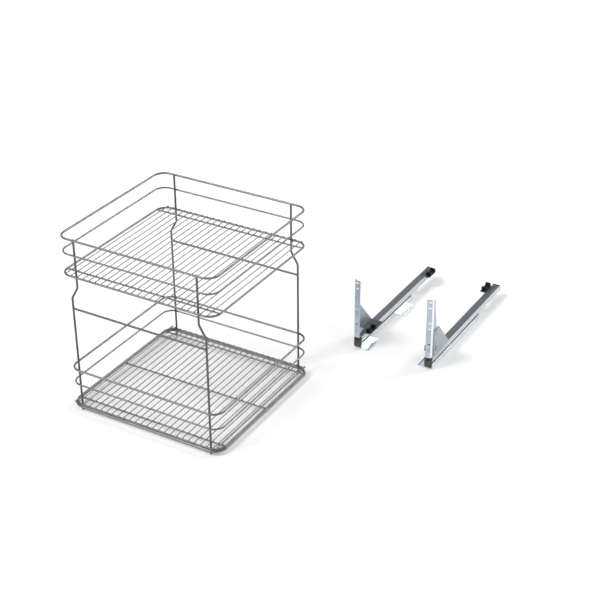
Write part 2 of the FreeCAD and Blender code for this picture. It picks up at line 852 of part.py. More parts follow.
def bracket(name, side):
    """The front bracket: a foot on the runner with an inward ear, and a three-cornered upright."""
    body = slide_body("bracket" + name, side)
    front = size["bracket_front"]
    rear = front + size["bracket_length"]
    ear = half_slide + size["ear_reach"]
    foot = mirrored(side, [
        (bracket_outer, front), (bracket_outer, rear), (-ear, rear, size["ear_radius"]),
        (-ear, front + size["ear_set_back"], size["ear_radius"]),
        (-half_slide, front + size["ear_set_back"]), (-half_slide, front),
    ])

    def foot_outline(sketch):
        add_outline(sketch, foot)
        peg_hole(sketch, side, front_clip_middle)

    slab(body, "along_z", runner_top, foot_top, foot_outline)
    width = size["screw_size"] + size["screw_hole_gap"]
    set_back = size["screw_set_back"]
    slot_low = lower_screw_level - size["lower_slot_travel"] / 2
    slot_high = size["middle_screw_level"] + size["lower_slot_travel"] / 2
    upright = [
        (front, runner_top), (rear, runner_top), (rear, foot_top, size["ear_radius"] / 2),
        (front + size["bracket_top_length"], bracket_top, size["ear_radius"] / 2),
        (front, bracket_top, size["ear_radius"] / 2),
    ]

    def upright_outline(sketch):
        add_outline(sketch, upright)
        add_slot(sketch, set_back, size["upper_screw_level"],
                 width + size["upper_slot_travel"], width, upright=True)
        add_slot(sketch, set_back, (slot_low + slot_high) / 2,
                 width + slot_high - slot_low, width, upright=True)

    slab(body, "along_x", *ordered(side, strip_outer, bracket_outer), upright_outline)
    round_edge(body, size["plate_metal"], side * bracket_outer, None, runner_top)
    return body


def screw_levels():
    return [size["upper_screw_level"], size["middle_screw_level"], lower_screw_level]


def strip_slot_levels():
    """Heights of the six slots for the door's screws, in three pairs."""
    levels = []
    for pair in range(3):
        for slot in range(2):
            levels.append(size["first_slot_level"] + pair * size["slot_pair_pitch"]
                          + slot * size["slot_pair_gap"])
    return levels


def door_strip(name, side):
    """The upright angle that the door screws to, with slots in its face and a tapering flange."""
    body = slide_body("door_strip" + name, side)
    face_front = -size["strip_front"]
    face_back = size["plate_metal"] - size["strip_front"]
    inner_edge = strip_outer - size["strip_width"]
    face = mirrored(side, [
        (inner_edge, size["strip_bottom"], size["plate_metal"]), (strip_outer, size["strip_bottom"]),
        (strip_outer, strip_top), (inner_edge, strip_top, size["plate_metal"]),
    ])
    slot_middle = side * (inner_edge + strip_outer) / 2

    def front(sketch):
        add_outline(sketch, face)
        for level in strip_slot_levels():
            add_slot(sketch, slot_middle, level, size["strip_slot_length"], size["strip_slot_width"])

    slab(body, "along_y", face_front, face_back, front)

    flange_bottom = foot_top + size["roller_gap"]
    flange = [
        (face_front, flange_bottom),
        (face_front + flange_low_depth, flange_bottom, size["ear_radius"]),
        (face_front + flange_low_depth, flange_taper_level),
        (face_front + size["strip_flange_top"], strip_top, size["ear_radius"]),
        (face_front, strip_top),
    ]

    def wing(sketch):
        add_outline(sketch, flange)
        for level in screw_levels():
            add_circle(sketch, size["screw_set_back"], level,
                       (size["screw_size"] + size["screw_hole_gap"]) / 2)

    wing_inner = strip_outer - size["plate_metal"]
    slab(body, "along_x", *ordered(side, wing_inner, strip_outer), wing)

    shelf_rear = 2 * size["adjuster_set_back"]
    shelf = mirrored(side, [
        (inner_edge, face_front), (wing_inner, face_front), (wing_inner, shelf_rear),
        (inner_edge, shelf_rear, size["plate_metal"]),
    ])

    def shelf_outline(sketch):
        add_outline(sketch, shelf)
        add_circle(sketch, 0, size["adjuster_set_back"],
                   (size["screw_size"] + size["screw_hole_gap"]) / 2)

    slab(body, "along_z", size["adjuster_tab_level"],
         size["adjuster_tab_level"] + size["plate_metal"], shelf_outline)
    round_edge(body, size["plate_metal"], side * strip_outer, face_front, None)
    return body


def bracket_screws(name, side):
    """Screws through the bracket's slots into the door strip's flange."""
    screws = []
    reach = 2 * size["plate_metal"] + size["plate_metal"] / 2
    for level in screw_levels():
        shank_start, _ = ordered(side, bracket_outer - reach, bracket_outer)
        head_start, _ = ordered(side, bracket_outer, bracket_outer + size["screw_head_height"])
        along = slide_y + size["screw_set_back"]
        shank = rod(slide_x(side) + shank_start, along, level, "x", size["screw_size"], reach)
        head = rod(slide_x(side) + head_start, along, level, "x",
                   size["screw_head"], size["screw_head_height"])
        screws.append(joined("Screw", [shank, head]))
    return group("bracket_screws" + name, screws)


def height_adjuster(name, side):
    """The thumbwheel on a stud that lifts the door strip by its shelf."""
    across = slide_x(side)
    along = slide_y + size["adjuster_set_back"]
    stud_height = size["adjuster_tab_level"] + 3 * size["plate_metal"] - foot_top
    wheel_bottom = size["adjuster_tab_level"] - size["roller_gap"] - size["adjuster_wheel_height"]
    stud = rod(across, along, foot_top, "z", size["screw_size"], stud_height)
    wheel = rod(across, along, wheel_bottom, "z", size["adjuster_wheel"],
                size["adjuster_wheel_height"])
    return joined("height_adjuster" + name, [stud, wheel])


def front_fork(name, side):
    """The moulded cap on the runner's front end, with a round prong, a notch and a slanted prong.

    The same moulding fits both slides, so it isn't mirrored.
    """
    body = slide_body("front_fork" + name, side)
    edge = half_slide - size["rail_metal"] / 2
    prong = -edge + size["fork_prong"]
    notch_floor = size["fork_top"] - size["fork_notch"]
    corners = [
        (-edge, size["fork_bottom"], size["plate_metal"]), (edge, size["fork_bottom"], size["plate_metal"]),
        (edge, size["fork_top"] - size["plate_metal"], size["plate_metal"] / 2),
        (prong + size["plate_metal"] / 2, notch_floor, size["plate_metal"] / 2),
        (prong, notch_floor, size["plate_metal"] / 4),
        (prong, size["fork_top"], size["fork_prong"] / 2 - size["running_gap"]),
        (-edge, size["fork_top"], size["fork_prong"] / 2 - size["running_gap"]),
    ]
    plate_rear = size["member_front"] - size["running_gap"]
    slab(body, "along_y", -size["fork_front"], plate_rear,
         lambda sketch: add_outline(sketch, corners))
    plug_half = channel_half - size["roller_gap"]
    low = runner_bottom + size["rail_metal"] + size["roller_gap"]
    high = runner_top - size["rail_metal"] - size["roller_gap"]
    slab(body, "along_y", plate_rear - size["rail_metal"],
         size["member_front"] + size["fork_plug_length"],
         lambda sketch: rectangle(sketch, -plug_half, low, plug_half, high))
    return body


def clip(label, side, middle):
    """A moulded cradle for a basket wire: a base with a tooth at each end, and a peg below."""
    body = slide_body(label, side)
    front = middle - size["clip_length"] / 2
    rear = middle + size["clip_length"] / 2
    floor = foot_top + size["clip_base"]
    top = foot_top + size["clip_height"]
    round_off = size["clip_radius"]
    corners = [
        (front, foot_top), (rear, foot_top), (rear, top, round_off / 2),
        (rear - size["clip_tooth"], top, round_off), (rear - size["clip_tooth"], floor, round_off),
        (front + size["clip_tooth"], floor, round_off), (front + size["clip_tooth"], top, round_off),
        (front, top, round_off / 2),
    ]
    outer = -half_slide
    inner = -half_slide - size["clip_width"]
    slab(body, "along_x", *ordered(side, inner, outer), lambda sketch: add_outline(sketch, corners))
    slab(body, "along_z", foot_top - size["plate_metal"], foot_top + size["clip_base"] / 2,
         lambda sketch: add_circle(sketch, -side * clip_middle, middle, size["peg_size"] / 2))
    return body


def rear_seat(name, side):
    """The plate on the runner's rear end that holds the rear clip."""
    body = slide_body("rear_seat" + name, side)
    ear = half_slide + size["ear_reach"]
    front = rear_clip_middle - size["clip_length"] / 2 - size["seat_lead"]
    rear = rear_clip_middle + size["clip_length"] / 2 + size["seat_margin"]
    corners = mirrored(side, [
        (half_head, front), (half_head, rear), (-ear, rear, size["ear_radius"]),
        (-ear, front, size["ear_radius"]),
    ])

    def outline(sketch):
        add_outline(sketch, corners)
        peg_hole(sketch, side, rear_clip_middle)

    slab(body, "along_z", runner_top, foot_top, outline)
    return body


def runner_end_cap(name, side):
    """The moulded rim on the runner's rear end, with a sleeve inside and no bottom.

    The middle rail passes through it when the runner is pulled out.
    """
    body = slide_body("runner_end_cap" + name, side)
    wall = size["end_cap_wall"]
    skin = size["roller_gap"]
    rim = n_section(half_slide, channel_half - skin - wall, runner_bottom,
                    runner_top + size["end_cap_rise"], runner_top - size["rail_metal"] - skin - wall)
    sleeve = n_section(channel_half - skin, channel_half - skin - wall,
                       runner_bottom + size["rail_metal"] + skin,
                       runner_top - size["rail_metal"] - skin,
                       runner_top - size["rail_metal"] - skin - wall)
    slab(body, "along_y", runner_rear, runner_rear + size["end_cap_length"],
         lambda sketch: add_outline(sketch, rim))
    slab(body, "along_y", runner_rear - size["end_cap_sleeve"], runner_rear + wall,
         lambda sketch: add_outline(sketch, sleeve))
    return body


def n_section(outer, inner, bottom, top, ceiling):
    """An arch of straight walls, open at the bottom."""
    return [
        (-outer, bottom), (-inner, bottom), (-inner, ceiling), (inner, ceiling), (inner, bottom),
        (outer, bottom), (outer, top), (-outer, top),
    ]


def build_slide(name, side):
    """All the pieces of one slide."""
    rear_plate_front = rail_rear - size["rear_plate_set_back"] - size["base_plate_length"]
    nodes = [
        cabinet_rail(name, side),
        base_plate("front_base_plate" + name, side, size["member_front"]),
        base_plate("rear_base_plate" + name, side, rear_plate_front),
        middle_rail(name, side),
        glide_strip(name, side),
        middle_tip(name, side),
        runner(name, side),
        bracket(name, side),
        door_strip(name, side),
        bracket_screws(name, side),
        height_adjuster(name, side),
        front_fork(name, side),
        clip("front_clip" + name, side, front_clip_middle),
        clip("rear_clip" + name, side, rear_clip_middle),
        rear_seat(name, side),
        runner_end_cap(name, side),
    ]
    return nodes + build_cages(name, side)


def check_and_write(nodes):
    """Refuse to write anything unless every object is sound, then write one file per node."""
    doc.recompute()
    for item in doc.Objects:
        if "Invalid" in item.State or "Error" in item.State:
            raise RuntimeError("failed object: " + item.Label + " " + str(item.State))
    for node in nodes:
        if node.Shape.isNull() or not node.Shape.isValid() or not node.Shape.Solids:
            raise RuntimeError("bad shape: " + node.Label)
    os.makedirs("parts", exist_ok=True)
    for node in nodes:
        node.Shape.exportStep(os.path.join("parts", node.Label + ".step"))


all_nodes = build_basket() + build_slide("_left", -1) + build_slide("_right", 1)
check_and_write(all_nodes)
print("nodes", len(all_nodes))
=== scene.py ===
"""Pull-out cargo basket: a two-tier wire basket and its pair of floor slides, dressed for looks."""
import bpy
import json
import math
import numpy as np
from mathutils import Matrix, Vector
from mathutils.geometry import delaunay_2d_cdt


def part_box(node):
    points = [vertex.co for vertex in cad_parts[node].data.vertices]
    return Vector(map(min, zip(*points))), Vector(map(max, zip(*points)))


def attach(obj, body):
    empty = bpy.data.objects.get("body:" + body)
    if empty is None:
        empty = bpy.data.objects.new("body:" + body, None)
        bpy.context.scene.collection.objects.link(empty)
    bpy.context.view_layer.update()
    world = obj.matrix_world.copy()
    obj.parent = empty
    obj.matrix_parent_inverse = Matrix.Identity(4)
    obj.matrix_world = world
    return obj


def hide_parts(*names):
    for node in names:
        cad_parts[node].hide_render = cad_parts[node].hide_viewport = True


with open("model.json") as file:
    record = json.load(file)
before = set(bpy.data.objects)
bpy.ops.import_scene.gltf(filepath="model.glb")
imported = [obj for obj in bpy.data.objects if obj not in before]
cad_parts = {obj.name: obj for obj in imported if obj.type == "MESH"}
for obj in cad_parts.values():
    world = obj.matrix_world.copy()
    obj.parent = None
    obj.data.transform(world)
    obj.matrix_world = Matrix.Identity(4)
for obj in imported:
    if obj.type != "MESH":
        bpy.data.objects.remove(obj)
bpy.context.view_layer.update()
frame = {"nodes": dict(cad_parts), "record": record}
NODES = frame["nodes"]
MM = 0.001

BEND = 4.5                                # outer radius of the door strips' bends, in mm
SCREW_LEVELS = (58.0, 85.0, 123.0)        # heights of the brackets' screws, in mm
PITCH, GROOVE, SHANK = 0.8, 0.3, 2.48     # a thread's pitch, its depth and its outer radius, in mm


def middle(node):
    """The middle of a node's box at rest, in metres."""
    low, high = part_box(node)
    return (low + high) / 2


# Finishes

def linear(code):
    """The linear colour of an sRGB hex value such as 'B0BED0', with full alpha."""
    parts = [int(code[i:i + 2], 16) / 255 for i in (0, 2, 4)]
    return tuple(c / 12.92 if c <= 0.04045 else ((c + 0.055) / 1.055) ** 2.4 for c in parts) + (1.0,)


def add(tree, kind, links=None, **settings):
    """Adds one node to a tree: links sets its inputs to values or to other nodes' outputs, and
    settings sets its own properties. A hex string given to an input becomes its linear colour."""
    node = tree.nodes.new(kind)
    for name, value in settings.items():
        setattr(node, name, value)
    for name, value in (links or {}).items():
        if isinstance(value, bpy.types.NodeSocket):
            tree.links.new(value, node.inputs[name])
        else:
            node.inputs[name].default_value = linear(value) if isinstance(value, str) else value
    return node


def begun(name):
    """A material with an empty tree."""
    material = bpy.data.materials.new(name)
    material.use_nodes = True
    material.node_tree.nodes.clear()
    return material, material.node_tree


def dressed(tree, sockets):
    """Ends a tree in one plain surface with the given sockets."""
    surface = add(tree, "ShaderNodeBsdfPrincipled", sockets)
    add(tree, "ShaderNodeOutputMaterial", {"Surface": surface.outputs[0]})


def cells(tree, size, stretch=(1.0, 1.0, 1.0)):
    """A soft random pattern from 0 to 1 on the piece's own coordinates.

    Its cells are size mm across, and a stretch under 1 draws them out along that axis.
    """
    place = add(tree, "ShaderNodeTexCoord")
    drawn = add(tree, "ShaderNodeMapping", {"Vector": place.outputs["Object"], "Scale": stretch})
    noise = add(tree, "ShaderNodeTexNoise",
                {"Vector": drawn.outputs[0], "Scale": 1.0 / (size * MM), "Detail": 2.0})
    return add(tree, "ShaderNodeMapRange",
               {"Value": noise.outputs["Fac"], "From Min": 0.33, "From Max": 0.67}).outputs[0]


def tone_with_painted_dark_top(tree, wall, back, streak):
    """Colour of a rolled or pressed piece by its own facing, with a painted dark reflection on the faces
    that look up.

    Its walls take the first hex value and the faces that look up the second, which is a darker painted
    reflection, and both are a little darker where the streak is 0.
    """
    facing = add(tree, "ShaderNodeNewGeometry")
    height = add(tree, "ShaderNodeSeparateXYZ", {0: facing.outputs["Normal"]})
    # Painted dark reflection: faces that look up take the second, darker colour.
    up = add(tree, "ShaderNodeMapRange", {"Value": height.outputs["Z"], "From Min": 0.6, "From Max": 0.9})
    tone = add(tree, "ShaderNodeMix", {0: up.outputs[0], 6: wall, 7: back}, data_type="RGBA")
    marks = add(tree, "ShaderNodeMix", {0: streak, 6: "E6E6E6", 7: "FFFFFF"}, data_type="RGBA")
    return add(tree, "ShaderNodeMix", {0: 1.0, 6: tone.outputs[2], 7: marks.outputs[2]},
               data_type="RGBA", blend_type="MULTIPLY").outputs[2]


def lacquered_wire(name, dark, light):
    """Drawn steel wire under a silver-grey stoved lacquer: mid grey with a soft metal sheen.

    The lacquer pools between two hex greys in clouds about 15 mm across, and the metal flake in it
    gives a grain of 1 mm.
    """
    material, tree = begun(name)
    cloud, flake = cells(tree, 15.0), cells(tree, 1.0)
    tone = add(tree, "ShaderNodeMix", {0: cloud, 6: dark, 7: light}, data_type="RGBA")
    sheen = add(tree, "ShaderNodeMapRange", {"Value": flake, "To Min": 0.23, "To Max": 0.29})
    raised = add(tree, "ShaderNodeBump", {"Height": flake, "Strength": 0.05, "Distance": 0.0001})
    dressed(tree, {"Base Color": tone.outputs[2], "Metallic": 0.75, "Roughness": sheen.outputs[0],
                   "Normal": raised.outputs[0]})
    return material


def weld_metal():
    """Resistance weld under the same lacquer: darker and rougher than the wire, in lumps of 2.5 mm."""
    material, tree = begun("lacquered_weld")
    lump = cells(tree, 2.5)
    tone = add(tree, "ShaderNodeMix", {0: lump, 6: "5E6063", 7: "6E7073"}, data_type="RGBA")
    raised = add(tree, "ShaderNodeBump", {"Height": lump, "Strength": 0.3, "Distance": 0.0004})
    dressed(tree, {"Base Color": tone.outputs[2], "Metallic": 0.65, "Roughness": 0.42,
                   "Normal": raised.outputs[0]})
    return material


def galvanised_sheet():
    """Pre-galvanised sheet: bright and faintly blue-green.

    The zinc's crystals are about 2 mm across, 480 of them to the metre, and each has its own slight
    tone and gloss.
    """
    material, tree = begun("galvanised_sheet")
    place = add(tree, "ShaderNodeTexCoord")
    crystal = add(tree, "ShaderNodeTexVoronoi", {"Vector": place.outputs["Object"], "Scale": 480.0})
    wash = add(tree, "ShaderNodeMix", {0: cells(tree, 33.0), 6: "E6EFF2", 7: "F1F6F7"}, data_type="RGBA")
    grain = add(tree, "ShaderNodeMix", {0: crystal.outputs["Color"], 6: "F4F4F4", 7: "FFFFFF"},
                data_type="RGBA")
    tone = add(tree, "ShaderNodeMix", {0: 1.0, 6: wash.outputs[2], 7: grain.outputs[2]},
               data_type="RGBA", blend_type="MULTIPLY")
    gloss = add(tree, "ShaderNodeMapRange",
                {"Value": crystal.outputs["Distance"], "To Min": 0.27, "To Max": 0.33})
    dressed(tree, {"Base Color": tone.outputs[2], "Metallic": 0.9, "Roughness": gloss.outputs[0]})
    return material


def zinc_plated_strip():
    """Blue-passivated zinc on pressed strip: pale blue-grey and satin, with rolling lines 1 mm apart.

    The bends carry a painted highlight that makes them nearly white. A point is on a bend where it lies
    far enough from the middle between the slides and less than a bend's radius behind the strips' faces.
    The painted highlight fades out over 2 mm on the face and over 1 mm on the flange.
    """
    left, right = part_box("door_strip_left")[0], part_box("door_strip_right")[1]
    between = (left.x + right.x) / 2
    start = right.x - between - BEND * MM
    depth = left.y + BEND * MM
    material, tree = begun("blue_zinc_plate")
    line = cells(tree, 1.1, (1.0, 1.0, 0.03))
    plate = add(tree, "ShaderNodeMix", {0: cells(tree, 45.0), 6: "B2BFCD", 7: "BECAD7"},
                data_type="RGBA")
    place = add(tree, "ShaderNodeTexCoord")
    spot = add(tree, "ShaderNodeSeparateXYZ", {0: place.outputs["Object"]})
    out = add(tree, "ShaderNodeMath", {0: spot.outputs["X"], 1: between}, operation="SUBTRACT")
    reach = add(tree, "ShaderNodeMath", {0: out.outputs[0]}, operation="ABSOLUTE")
    wide = add(tree, "ShaderNodeMapRange",
               {"Value": reach.outputs[0], "From Min": start - MM / 2, "From Max": start + 1.5 * MM})
    near = add(tree, "ShaderNodeMapRange",
               {"Value": spot.outputs["Y"], "From Min": depth - MM / 2, "From Max": depth + MM / 2,
                "To Min": 1.0, "To Max": 0.0})
    bent = add(tree, "ShaderNodeMath", {0: wide.outputs[0], 1: near.outputs[0]}, operation="MULTIPLY")
    # F4F8FC on the bends is a painted highlight.
    plate_with_painted_highlight = add(tree, "ShaderNodeMix", {0: bent.outputs[0], 6: plate.outputs[2], 7: "F4F8FC"},
               data_type="RGBA")
    marks = add(tree, "ShaderNodeMix", {0: line, 6: "F2F2F2", 7: "FFFFFF"}, data_type="RGBA")
    tone = add(tree, "ShaderNodeMix", {0: 1.0, 6: plate_with_painted_highlight.outputs[2], 7: marks.outputs[2]},
               data_type="RGBA", blend_type="MULTIPLY")
    gloss = add(tree, "ShaderNodeMapRange", {"Value": line, "To Min": 0.32, "To Max": 0.4})
    dressed(tree, {"Base Color": tone.outputs[2], "Metallic": 0.85, "Roughness": gloss.outputs[0]})
    return material


def zinc_plated_bracket():
    """The same plating on the thicker bracket: greyer, with a painted dark reflection on the faces that
    look up, where it lies flat on the runner.
    """
    material, tree = begun("grey_zinc_plate")
    line = cells(tree, 1.4, (1.0, 0.03, 1.0))
    gloss = add(tree, "ShaderNodeMapRange", {"Value": line, "To Min": 0.36, "To Max": 0.44})
    # 5C6066 on the faces that look up is a painted dark reflection.
    dressed(tree, {"Base Color": tone_with_painted_dark_top(tree, "ACB6BF", "5C6066", line), "Metallic": 0.85,
                   "Roughness": gloss.outputs[0]})
    return material


def brushed_runner():
    """Cold-rolled runner: its walls are bright zinc and its back carries a painted dark reflection,
    brushed along its length.

    The brush marks are drawn 1.5 mm apart, wider than real ones, so that they show.
    """
    material, tree = begun("rolled_runner_steel")
    streak = cells(tree, 1.5, (1.0, 0.012, 1.0))
    gloss = add(tree, "ShaderNodeMapRange", {"Value": streak, "To Min": 0.28, "To Max": 0.4})
    # 7A7E83 on the runner's back is a painted dark reflection.
    dressed(tree, {"Base Color": tone_with_painted_dark_top(tree, "D2DAE0", "7A7E83", streak), "Metallic": 0.9,
                   "Roughness": gloss.outputs[0]})
    return material


def ground_steel():
    """Hardened roller and screw steel: bright and nearly smooth, with a ground grain of 0.7 mm."""
    material, tree = begun("ground_steel")
    grain = cells(tree, 0.7)
    tone = add(tree, "ShaderNodeMix", {0: grain, 6: "BAC0C6", 7: "CED2D6"}, data_type="RGBA")
    gloss = add(tree, "ShaderNodeMapRange", {"Value": grain, "To Min": 0.18, "To Max": 0.26})
    dressed(tree, {"Base Color": tone.outputs[2], "Metallic": 1.0, "Roughness": gloss.outputs[0]})
    return material


def moulded_nylon(name, dark, light, roughness, shine):
    """Injection-moulded nylon between two hex greys: dull, with a spark-eroded grain of about 1 mm.

    The grain takes away much of the surface's shine, so its specular level is under the default.
    """
    material, tree = begun(name)
    tone = add(tree, "ShaderNodeMix", {0: cells(tree, 8.0), 6: dark, 7: light}, data_type="RGBA")
    raised = add(tree, "ShaderNodeBump",
                 {"Height": cells(tree, 0.9), "Strength": 0.12, "Distance": 0.0002})
    dressed(tree, {"Base Color": tone.outputs[2], "Roughness": roughness, "Specular IOR Level": shine,
                   "Normal": raised.outputs[0]})
    return material


WIRE = lacquered_wire("silver_lacquered_wire", "6D6F72", "78797C")
# The legs and tie bars take the same lacquer in darker greys, as painted shade.
SHADED_LEG_WIRE = lacquered_wire("silver_lacquered_wire_painted_shade", "545659", "5E6063")
WELD = weld_metal()
GALVANISED = galvanised_sheet()
STRIP = zinc_plated_strip()
BRACKET = zinc_plated_bracket()
RUNNER = brushed_runner()
STEEL = ground_steel()
BLACK = moulded_nylon("black_nylon", "0A0C0E", "141618", 0.42, 0.15)
GREY = moulded_nylon("dark_grey_nylon", "444443", "524E4A", 0.5, 0.25)

SLOT_FINISH = {"wire": WIRE, "galvanised": GALVANISED, "zinc_plate": BRACKET, "roller_steel": STEEL,
               "black_plastic": BLACK, "grey_plastic": GREY}
OWN_FINISH = {"runner_left": RUNNER, "runner_right": RUNNER,
              "leg_front_left": SHADED_LEG_WIRE, "leg_front_right": SHADED_LEG_WIRE, "leg_rear_left": SHADED_LEG_WIRE,
              "leg_rear_right": SHADED_LEG_WIRE, "front_tie_bar": SHADED_LEG_WIRE, "rear_tie_bar": SHADED_LEG_WIRE}
for part in frame["record"]["subparts"]:
    name = part["node"]
    NODES[name].data.materials.clear()
    NODES[name].data.materials.append(OWN_FINISH.get(name, SLOT_FINISH[part["material_slot"]]))


# Pieces

def skinned(name, rings, material, sharp=40.0):
    """A piece from closed surfaces, given as an array of (surface, ring, point, xyz) in metres.

    Quads join neighbouring rings, a fan closes each end on its middle, and the faces are turned
    round where the first surface's volume comes out negative. Edges over sharp degrees stay crisp.
    """
    copies, rows, points = rings.shape[:3]
    ends = rings[:, [0, -1]].mean(axis=2)
    corners = np.concatenate([rings.reshape(copies, -1, 3), ends], axis=1)
    row, column = np.meshgrid(np.arange(rows - 1), np.arange(points), indexing="ij")
    after = (column + 1) % points
    quads = np.stack([row * points + column, row * points + after,
                      (row + 1) * points + after, (row + 1) * points + column], -1).reshape(-1, 4)
    here = np.arange(points)
    there = (here + 1) % points
    last = (rows - 1) * points
    fans = np.concatenate([np.stack([np.full(points, rows * points), there, here], -1),
                           np.stack([np.full(points, rows * points + 1), last + here, last + there], -1)])
    halves = np.concatenate([quads[:, :3], quads[:, [0, 2, 3]], fans])
    a, b, c = (corners[0, halves[:, i]] for i in range(3))
    if np.einsum("ij,ij->", a, np.cross(b, c)) < 0:
        quads, fans = quads[:, ::-1], fans[:, ::-1]
    shift = (np.arange(copies) * corners.shape[1])[:, None, None]
    faces = (quads + shift).reshape(-1, 4).tolist() + (fans + shift).reshape(-1, 3).tolist()
    mesh = bpy.data.meshes.new(name)
    mesh.from_pydata(corners.reshape(-1, 3).tolist(), [], faces)
    mesh.polygons.foreach_set("use_smooth", np.ones(len(mesh.polygons), dtype=bool))
    mesh.set_sharp_from_angle(angle=math.radians(sharp))
    mesh.materials.append(material)
    piece = bpy.data.objects.new(name, mesh)
    bpy.context.scene.collection.objects.link(piece)
    return piece


def fade(value, full, gone):
    """1 up to full, 0 from gone, and a smooth step between them."""
    t = np.clip((gone - value) / (gone - full), 0.0, 1.0)
    return t * t * (3.0 - 2.0 * t)


def threaded(heights, turn):
    """Radii in mm of a thread: SHANK less a saw that is GROOVE deep and climbs one PITCH in each turn."""
    saw = np.abs(((heights[:, None] / PITCH - turn / (2.0 * np.pi)) % 1.0) * 2.0 - 1.0)
    return SHANK - GROOVE * saw


def cross_head_screws(side, sign):
    """Three pan-head screws through the bracket, whose heads stand out along x by sign.

    Each is a turned surface: its radius is a function of the height along the screw, from its head's
    seat, and of the angle. The shank is threaded. The head is a dome over its rim, with a cross sunk
    1.4 mm deep where the smaller of the two distances to the cross's arms is under half a millimetre.
    """
    low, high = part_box("bracket_screws_" + side)
    length, head, radius, rim_height, dome_height = 5.0, 2.5, 4.5, 1.15, 1.33
    sink, arm_half_width, arm_length = 1.4, (0.42, 0.62), (2.1, 2.6)
    seat = low.x + head * MM if sign < 0 else high.x - head * MM
    turn = np.linspace(0.0, 2.0 * np.pi, 64, endpoint=False)
    shank_at = np.linspace(-length, -0.05, 34)
    radii = threaded(shank_at, turn)
    shank = np.stack([np.broadcast_to(shank_at[:, None], radii.shape), radii], -1)
    rim_at = np.array([[0.0, 2.6], [0.0, 4.3], [0.15, 4.48], [0.7, 4.5], [1.1, 4.42]])
    rim = np.broadcast_to(rim_at[:, None, :], (len(rim_at), len(turn), 2))
    across = np.concatenate([np.linspace(4.25, 3.0, 6), np.linspace(2.8, 0.1, 16)])[:, None]
    arms = np.minimum(np.abs(across * np.cos(turn)), np.abs(across * np.sin(turn)))
    sunk = sink * fade(arms, *arm_half_width) * fade(across, *arm_length)
    dome_at = rim_height + dome_height * np.sqrt(1.0 - (across / radius) ** 2) - sunk
    dome = np.stack([dome_at, np.broadcast_to(across, dome_at.shape)], -1)
    shape = np.concatenate([shank, rim, dome]) * MM
    along = middle("bracket_screws_" + side).y
    levels = np.array(SCREW_LEVELS) * MM
    rings = np.stack([np.broadcast_to(seat + sign * shape[..., 0], (3,) + shape.shape[:2]),
                      np.broadcast_to(along + shape[..., 1] * np.cos(turn), (3,) + shape.shape[:2]),
                      levels[:, None, None] + shape[..., 1] * np.sin(turn)], -1)
    piece = skinned("cross_head_screws_" + side, rings, STEEL, 30.0)
    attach(piece, "runner_body_" + side)
    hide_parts("bracket_screws_" + side)


def knurled_wheel(side):
    """The thumbwheel on its stud: a turned surface whose radius is a function of height and angle.

    The stud is threaded above and below the wheel, whose rim has 36 rounded flutes 0.5 mm deep
    between two chamfers. The wheel's profile gives a radius, a height and a share of the flutes.
    """
    low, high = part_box("height_adjuster_" + side)
    axis = middle("height_adjuster_" + side)
    bore, ring, rim, chamfer = 2.6, 5.4, 6.5, 0.8
    foot, top = low.z / MM + 9.7, high.z / MM - 6.3
    count, depth = 36, 0.5
    turn = np.linspace(0.0, 2.0 * np.pi, 4 * count, endpoint=False)
    flutes = depth / 2 * (1.0 - np.cos(count * turn))
    profile = np.array([(bore, foot, 0.0), (ring, foot, 0.0), (rim, foot + chamfer, 1.0),
                        (rim, (foot + top) / 2, 1.0), (rim, top - chamfer, 1.0), (ring, top, 0.0),
                        (bore, top, 0.0)])
    wheel = np.stack([profile[:, None, 0] - profile[:, None, 2] * flutes,
                      np.broadcast_to(profile[:, None, 1], (len(profile), len(turn)))], -1)
    below = np.linspace(low.z / MM, foot - 0.05, 60)
    above = np.linspace(top + 0.05, high.z / MM, 40)
    stud = [np.stack([threaded(heights, turn),
                      np.broadcast_to(heights[:, None], (len(heights), len(turn)))], -1)
            for heights in (below, above)]
    shape = np.concatenate([stud[0], wheel, stud[1]]) * MM
    rings = np.stack([axis.x + shape[..., 0] * np.cos(turn), axis.y + shape[..., 0] * np.sin(turn),
                      shape[..., 1]], -1)[None]
    piece = skinned("knurled_wheel_" + side, rings, STEEL, 30.0)
    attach(piece, "runner_body_" + side)
    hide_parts("height_adjuster_" + side)


def rounded(corners):
    """An outline in mm from (x, y, radius) corners: each is an arc that touches both of its sides."""
    corners = np.array(corners, dtype=float)
    points = []
    for before, here, after in zip(np.roll(corners, 1, axis=0), corners, np.roll(corners, -1, axis=0)):
        come, go = before[:2] - here[:2], after[:2] - here[:2]
        come, go = come / np.linalg.norm(come), go / np.linalg.norm(go)
        if here[2] == 0.0:
            points.append(here[:2][None])
            continue
        half = np.arccos(np.clip(come @ go, -1.0, 1.0)) / 2.0
        centre = here[:2] + (come + go) / np.linalg.norm(come + go) * here[2] / np.sin(half)
        start = here[:2] + come * here[2] / np.tan(half) - centre
        stop = here[:2] + go * here[2] / np.tan(half) - centre
        angle = np.arctan2(start[1], start[0])
        swing = (np.arctan2(stop[1], stop[0]) - angle + np.pi) % (2.0 * np.pi) - np.pi
        at = angle + swing * np.linspace(0.0, 1.0, 7)
        points.append(centre + here[2] * np.stack([np.cos(at), np.sin(at)], -1))
    return np.concatenate(points)


def slot_outline(across, up, length, width):
    """A slot that lies across, in mm: two half circles of its width, joined by straight sides."""
    turn = np.linspace(-0.5 * np.pi, 0.5 * np.pi, 9)
    end = np.stack([np.cos(turn), np.sin(turn)], -1) * width / 2.0
    reach = np.array([(length - width) / 2.0, 0.0])
    return np.concatenate([end + reach, -end - reach]) + (across, up)


def inside(points, outline):
    """Whether each point lies in an outline: where a ray along x crosses an odd number of sides."""
    x, y = points[:, 0, None], points[:, 1, None]
    x1, y1 = outline.T
    x2, y2 = np.roll(outline, -1, axis=0).T
    with np.errstate(divide="ignore", invalid="ignore"):
        hit = ((y1 > y) != (y2 > y)) & (x < (x2 - x1) * (y - y1) / (y2 - y1) + x1)
    return hit.sum(axis=1) % 2 == 1


